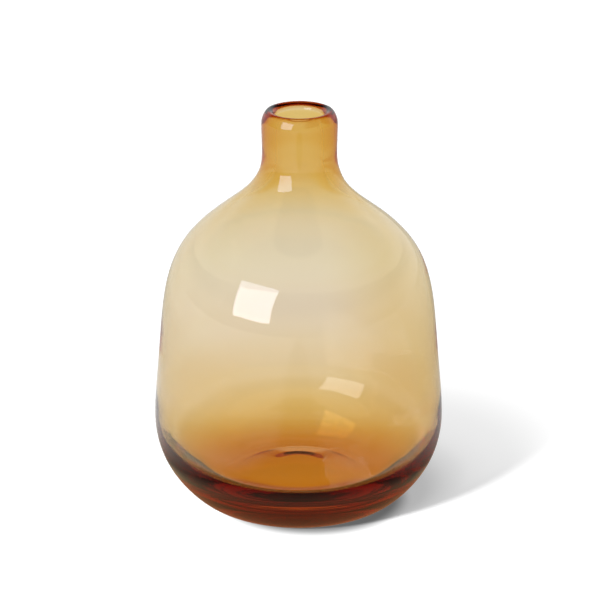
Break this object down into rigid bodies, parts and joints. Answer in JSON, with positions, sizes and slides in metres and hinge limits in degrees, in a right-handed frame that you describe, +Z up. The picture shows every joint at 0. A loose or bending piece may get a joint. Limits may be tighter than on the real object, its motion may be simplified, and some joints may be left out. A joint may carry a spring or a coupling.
{
  "type": "glass bud vase",
  "caption": "Free-standing mouth-blown amber glass bud vase with a rounded body, sloping shoulder, narrow open neck, soft rolled lip and a thick heavy base.",
  "frame": {"origin": "centre of the foot, on the plane that the vase rests on", "axes": "+Z up along the vase's axis of revolution, out through the mouth; +X to the right and +Y away in the front view, and the vase is round, so both are equal"},
  "size_m": [0.1064, 0.1064, 0.15],
  "materials": {
    "amber_glass": "clear amber soda-lime glass, coloured right through, fire-polished and glossy"
  },
  "bodies": {
    "root": {"glass_vase": "amber_glass"}
  },
  "joints": []
}
